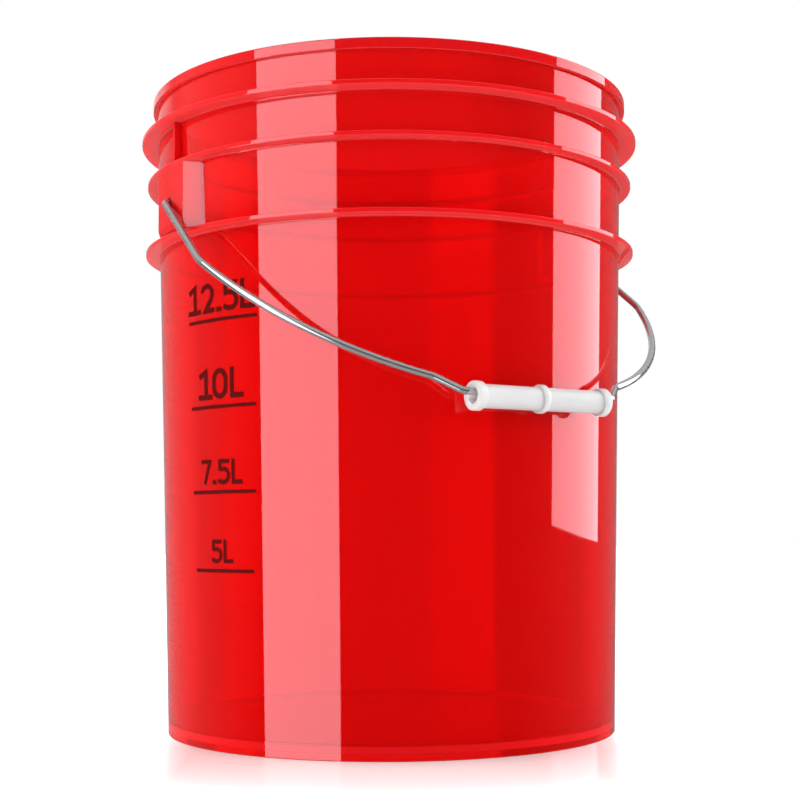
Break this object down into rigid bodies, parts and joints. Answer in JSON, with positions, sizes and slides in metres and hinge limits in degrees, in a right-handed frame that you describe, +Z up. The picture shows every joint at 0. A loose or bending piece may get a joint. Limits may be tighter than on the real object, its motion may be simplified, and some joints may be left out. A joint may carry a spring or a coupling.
{
  "type": "wash bucket",
  "caption": "Round tapered plastic pail with stiffening rings, a swinging wire bail, a turning hand grip and printed volume marks.",
  "frame": {"origin": "on the pail's axis, in the plane of the edge it stands on", "axes": "+Z up out of the pail's mouth; X along the axis that the bail swings on; -Y towards the side where the bail hangs at rest"},
  "size_m": [0.31, 0.3011, 0.372],
  "materials": {
    "red_plastic": "glossy moulded plastic, slightly see-through",
    "steel_wire": "bright drawn and zinc-plated wire",
    "white_plastic": "smooth semi-gloss moulded plastic",
    "mark_ink": "dark printed ink"
  },
  "bodies": {
    "pail": {"bucket_body": "red_plastic", "volume_mark_12_5_l": "mark_ink", "volume_mark_10_l": "mark_ink", "volume_mark_7_5_l": "mark_ink", "volume_mark_5_l": "mark_ink"},
    "bail": {"bail_wire": "steel_wire"},
    "grip": {"handle_grip": "white_plastic"}
  },
  "joints": [
    {"name": "bail_swing", "type": "hinge", "parent": "pail", "child": "bail", "pos_m": [0, 0, 0.2991], "axis": [-1, 0, 0], "range_deg": [0, 257]},
    {"name": "grip_spin", "type": "hinge", "parent": "bail", "child": "grip", "pos_m": [0, -0.14389, 0.18453], "axis": [1, 0, 0], "continuous": true}
  ]
}
